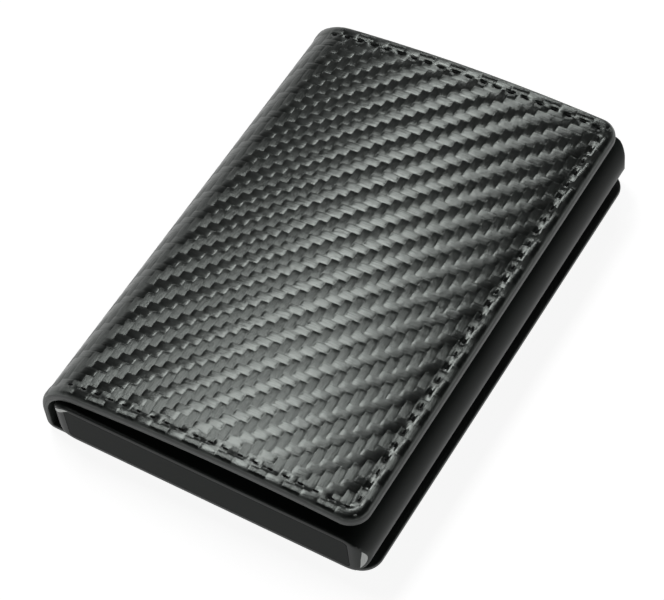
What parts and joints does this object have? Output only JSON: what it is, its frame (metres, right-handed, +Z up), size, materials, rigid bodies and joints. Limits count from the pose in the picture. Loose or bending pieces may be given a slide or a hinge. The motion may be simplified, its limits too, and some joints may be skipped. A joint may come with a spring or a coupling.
{
  "type": "pop-up card case wallet",
  "caption": "Slim folding wallet: a leather cover with a stitched flap wraps a rigid metal card case with a thumb-worked ejector.",
  "frame": {"origin": "centre of the bounding box, on the surface that the closed wallet lies on", "axes": "+Z up through the flap, +Y towards the card mouth, +X towards the open side and away from the spine"},
  "size_m": [0.068, 0.0988, 0.0174],
  "materials": {
    "cover_leather": "glossy synthetic leather embossed with a twill carbon weave",
    "lining": "smooth matt black",
    "board": "grey fibre board",
    "adhesive": "foam tape",
    "thread": "waxed black thread",
    "magnet": "flexible magnetic rubber",
    "anodised_case": "satin black anodised",
    "black_plastic": "satin moulded",
    "felt": "short felt",
    "steel": "plain",
    "brass": "plain"
  },
  "bodies": {
    "case": {"back_skin": "cover_leather", "back_board": "board", "back_lining": "lining", "case_adhesive_pad": "adhesive", "back_stitching": "thread", "case_shell": "anodised_case", "end_cap": "black_plastic", "mouth_frame": "black_plastic", "card_guide_left": "black_plastic", "card_guide_right": "black_plastic", "grip_felt_lower": "felt", "grip_felt_upper": "felt", "keeper_strip": "steel", "pivot_pin": "brass", "pivot_washer": "brass", "return_spring": "steel"},
    "spine": {"spine_skin": "cover_leather", "spine_lining": "lining"},
    "flap": {"flap_skin": "cover_leather", "flap_board": "board", "flap_magnet_strip": "magnet", "flap_lining": "lining", "flap_pocket_lower": "lining", "flap_pocket_upper": "lining", "flap_stitching": "thread"},
    "ejector": {"ejector_lever": "black_plastic", "thumb_knob": "anodised_case", "knob_screw": "steel"}
  },
  "joints": [
    {"name": "spine_fold", "type": "hinge", "parent": "case", "child": "spine", "pos_m": [-0.03357, 0, 0.00043], "axis": [0, -1, 0], "range_deg": [0, 88]},
    {"name": "flap_fold", "type": "hinge", "parent": "spine", "child": "flap", "pos_m": [-0.03225, 0, 0.01246], "axis": [0, -1, 0], "range_deg": [0, 83]},
    {"name": "ejector_swing", "type": "hinge", "parent": "case", "child": "ejector", "pos_m": [-0.0222, -0.0429, 0.0066], "axis": [0, 0, 1], "range_deg": [0, 22], "stiffness_Nm_per_rad": 0.02, "springref_deg": -28.65, "deforming": ["return_spring"]}
  ]
}
